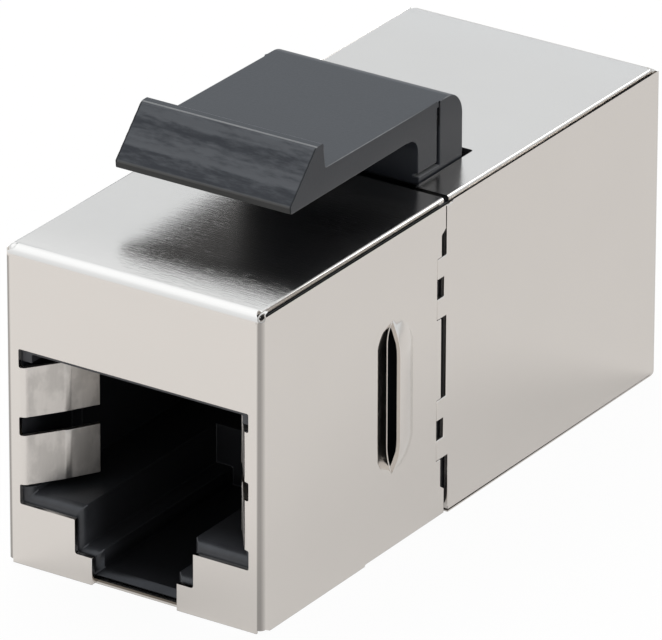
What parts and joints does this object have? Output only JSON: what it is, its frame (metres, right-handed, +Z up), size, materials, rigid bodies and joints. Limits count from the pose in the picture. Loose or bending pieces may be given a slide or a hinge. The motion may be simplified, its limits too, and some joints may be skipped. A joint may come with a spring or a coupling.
{
  "type": "keystone jack",
  "caption": "Shielded feed-through keystone jack: folded metal shields over two modular plug ports, with a sprung plastic latch on top that snaps into a panel cut-out.",
  "frame": {"origin": "under the middle of the body, on the surface it stands on", "axes": "+X to the right seen from the front port, +Y from the front port to the rear port, +Z up to the latch"},
  "size_m": [0.0154, 0.035, 0.0214],
  "materials": {
    "shield_metal": "satin nickel-plated sheet, faintly rolled grain",
    "housing_plastic": "black moulded, fine matt",
    "latch_plastic": "slate-black moulded, satin",
    "carrier_plastic": "black moulded",
    "contact_plating": "gold-plated spring wire",
    "board": "green solder resist over glass laminate"
  },
  "bodies": {
    "module": {"front_shield": "shield_metal", "rear_shield": "shield_metal", "front_housing": "housing_plastic", "rear_housing": "housing_plastic", "front_contact_carrier": "carrier_plastic", "rear_contact_carrier": "carrier_plastic", "circuit_board": "board", "front_contact_1": "contact_plating", "rear_contact_1": "contact_plating", "front_contact_2": "contact_plating", "rear_contact_2": "contact_plating", "front_contact_3": "contact_plating", "rear_contact_3": "contact_plating", "front_contact_4": "contact_plating", "rear_contact_4": "contact_plating", "front_contact_5": "contact_plating", "rear_contact_5": "contact_plating", "front_contact_6": "contact_plating", "rear_contact_6": "contact_plating", "front_contact_7": "contact_plating", "rear_contact_7": "contact_plating", "front_contact_8": "contact_plating", "rear_contact_8": "contact_plating"},
    "latch": {"keystone_latch": "latch_plastic"}
  },
  "joints": [
    {"name": "latch_press", "type": "hinge", "parent": "module", "child": "latch", "pos_m": [0, 0.0019, 0.01533], "axis": [1, 0, 0], "range_deg": [0, 8], "stiffness_Nm_per_rad": 0.1}
  ]
}
